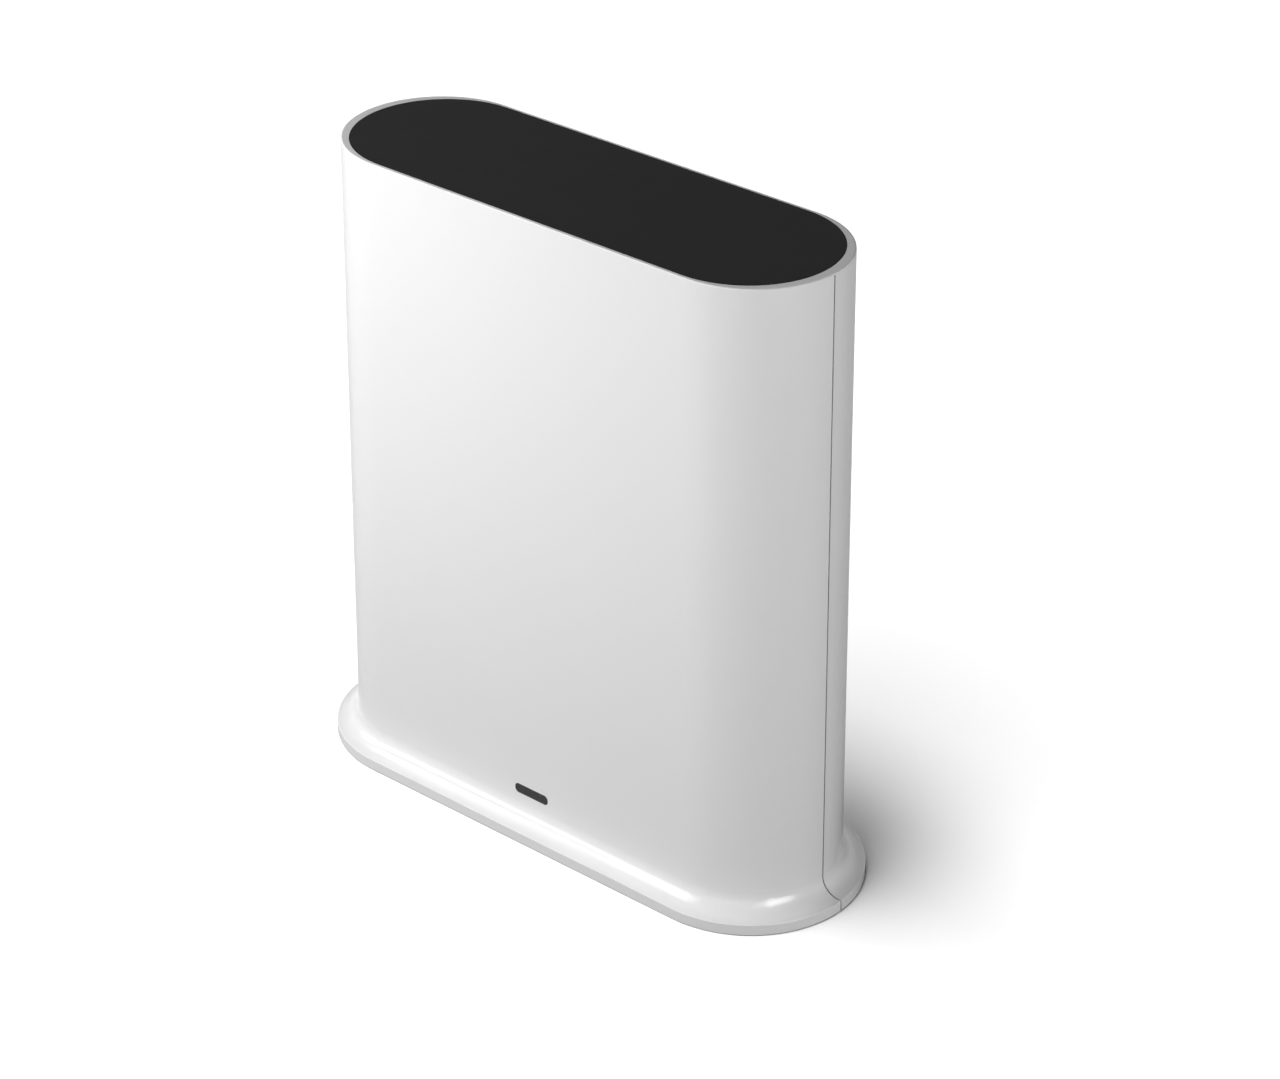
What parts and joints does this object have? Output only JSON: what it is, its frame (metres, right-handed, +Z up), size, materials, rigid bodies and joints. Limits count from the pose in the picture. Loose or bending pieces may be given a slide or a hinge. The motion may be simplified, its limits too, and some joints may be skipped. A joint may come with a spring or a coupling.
{
  "type": "security camera base station",
  "caption": "Upright white hub for wireless security cameras, with a round-ended plan, flared foot, black top panel, front status window and a rear bay of ports with sync and reset buttons.",
  "frame": {"origin": "on the floor under the centre of the foot", "axes": "+Z up, +X along the length, the front with the status window towards -Y and the port bay towards +Y"},
  "size_m": [0.1364, 0.05, 0.1442],
  "materials": {
    "white_plastic": "moulded white plastic, satin gloss",
    "black_panel": "matte black moulded plastic",
    "base_plastic": "off-white plastic, fine spark texture",
    "foot_rubber": "matte dark rubber",
    "screw_steel": "zinc-plated steel",
    "smoked_window": "smoked translucent plastic",
    "clear_acrylic": "clear acrylic",
    "led_resin": "cast resin",
    "board_green": "solder mask over glass fibre",
    "chip_black": "moulded epoxy",
    "thermal_rubber": "soft filled silicone",
    "sink_aluminium": "extruded aluminium",
    "socket_steel": "nickel-plated sheet",
    "socket_black": "moulded nylon",
    "contact_gold": "gold flash",
    "button_grey": "satin pale grey plastic",
    "capacitor_sleeve": "shrink sleeve",
    "cable_black": "extruded jacket"
  },
  "bodies": {
    "housing": {"front_shell": "white_plastic", "rear_shell": "white_plastic", "top_panel": "black_panel", "base_plate": "base_plastic", "rubber_feet": "foot_rubber", "base_screws": "screw_steel", "light_window": "smoked_window", "light_pipe": "clear_acrylic", "status_led": "led_resin", "main_board": "board_green", "board_screws": "screw_steel", "processor_chip": "chip_black", "memory_chips": "chip_black", "thermal_pad": "thermal_rubber", "heat_sink": "sink_aluminium", "heat_sink_screws": "screw_steel", "radio_shields": "socket_steel", "radio_chips": "chip_black", "network_shield": "socket_steel", "network_insert": "socket_black", "network_contacts": "contact_gold", "network_transformer": "chip_black", "usb_shell": "socket_steel", "usb_tongue": "socket_black", "usb_contacts": "contact_gold", "power_inlet": "socket_black", "power_pin": "contact_gold", "sync_switch": "chip_black", "reset_switch": "chip_black", "capacitors": "capacitor_sleeve", "power_inductor": "chip_black", "antenna_left": "socket_steel", "antenna_right": "socket_steel", "antenna_board": "board_green", "antenna_cable": "cable_black", "antenna_plug": "contact_gold"},
    "sync": {"sync_button": "button_grey", "sync_plunger": "socket_black"},
    "reset": {"reset_plunger": "socket_black"}
  },
  "joints": [
    {"name": "sync_press", "type": "slide", "parent": "housing", "child": "sync", "axis": [0, -1, 0], "range_m": [0, 0.0006], "stiffness_N_per_m": 400, "springref_m": -0.004},
    {"name": "reset_press", "type": "slide", "parent": "housing", "child": "reset", "axis": [0, -1, 0], "range_m": [0, 0.0003], "stiffness_N_per_m": 400, "springref_m": -0.003}
  ]
}
